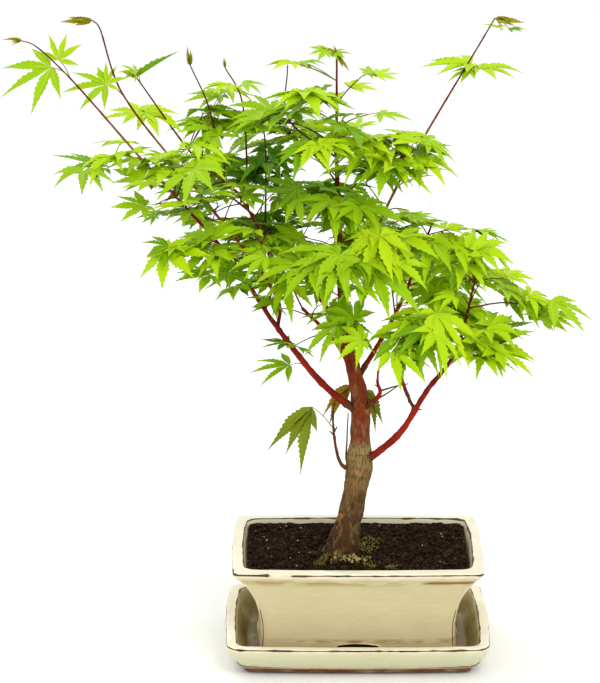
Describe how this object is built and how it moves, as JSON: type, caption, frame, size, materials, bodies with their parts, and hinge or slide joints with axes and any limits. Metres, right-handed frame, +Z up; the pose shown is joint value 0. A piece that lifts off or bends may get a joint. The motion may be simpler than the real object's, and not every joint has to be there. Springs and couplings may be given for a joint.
{
  "type": "potted japanese maple bonsai",
  "caption": "Small japanese maple tree with a leaning trunk and layered lobed leaves, in a glazed rectangular pot standing in a drip tray.",
  "frame": {"origin": "centre of the drip tray's flat underside", "axes": "+Z up, +X to the right seen from the front, the front faces -Y; the long side of the pot lies along X"},
  "size_m": [0.4124, 0.2166, 0.4707],
  "materials": {
    "glazed_stoneware": "cream glaze over brown stoneware, glossy, dark where it breaks on the edges",
    "soil": "damp dark potting soil, crumbly, matt",
    "trunk_bark": "rough grey-brown bark, matt, going red-brown higher up",
    "red_bark": "smooth crimson bark with pale dots, satin",
    "young_shoot": "smooth young shoot, orange red to dark maroon, satin",
    "fresh_leaf": "fresh lime-green leaf, satin",
    "shaded_leaf": "deeper green leaf inside the foliage, satin",
    "olive_leaf": "older olive leaf, satin",
    "bronze_leaf": "older bronze leaf, satin"
  },
  "bodies": {
    "root": {"tray": "glazed_stoneware", "pot": "glazed_stoneware", "soil": "soil", "trunk": "trunk_bark", "left_bough": "red_bark", "far_left_shoot": "young_shoot", "second_left_shoot": "young_shoot", "third_left_shoot": "young_shoot", "right_bough": "red_bark", "right_bough_twig": "red_bark", "right_long_shoot": "young_shoot", "left_centre_bough": "red_bark", "right_short_bough": "red_bark", "low_left_twig": "red_bark", "rear_left_bough": "red_bark", "rear_right_bough": "red_bark", "far_left_tip_leaves": "fresh_leaf", "second_left_tip_leaves": "fresh_leaf", "third_left_tip_leaves": "fresh_leaf", "third_left_shoot_leaves": "fresh_leaf", "left_outer_leaves": "fresh_leaf", "left_leaves": "fresh_leaf", "left_upper_leaves": "fresh_leaf", "upper_left_leaves": "fresh_leaf", "left_lower_leaves": "fresh_leaf", "left_hanging_leaves": "fresh_leaf", "top_left_leaves": "fresh_leaf", "top_leaves": "fresh_leaf", "top_tip_leaves": "fresh_leaf", "leader_tip_leaves": "fresh_leaf", "leader_leaves": "fresh_leaf", "leader_front_leaves": "fresh_leaf", "inner_left_leaves": "shaded_leaf", "inner_top_leaves": "fresh_leaf", "inner_leaves": "fresh_leaf", "right_upper_leaves": "fresh_leaf", "right_shoot_leaves": "fresh_leaf", "right_shoot_tip_leaves": "fresh_leaf", "shaded_inner_leaves": "shaded_leaf", "front_leaves": "fresh_leaf", "left_front_leaves": "fresh_leaf", "left_under_leaves": "fresh_leaf", "front_under_leaves": "fresh_leaf", "right_centre_leaves": "fresh_leaf", "right_inner_leaves": "fresh_leaf", "right_arching_leaves": "fresh_leaf", "far_right_leaves": "fresh_leaf", "right_middle_leaves": "fresh_leaf", "right_lower_leaves": "fresh_leaf", "right_front_leaves": "fresh_leaf", "olive_leaf": "olive_leaf", "low_left_leaf": "fresh_leaf", "bronze_leaves": "bronze_leaf", "rear_top_leaves": "fresh_leaf", "rear_left_leaves": "fresh_leaf", "rear_centre_leaves": "fresh_leaf", "rear_right_leaves": "fresh_leaf", "rear_low_right_leaves": "fresh_leaf", "rear_low_left_leaves": "fresh_leaf", "rear_low_leaves": "fresh_leaf"}
  },
  "joints": []
}
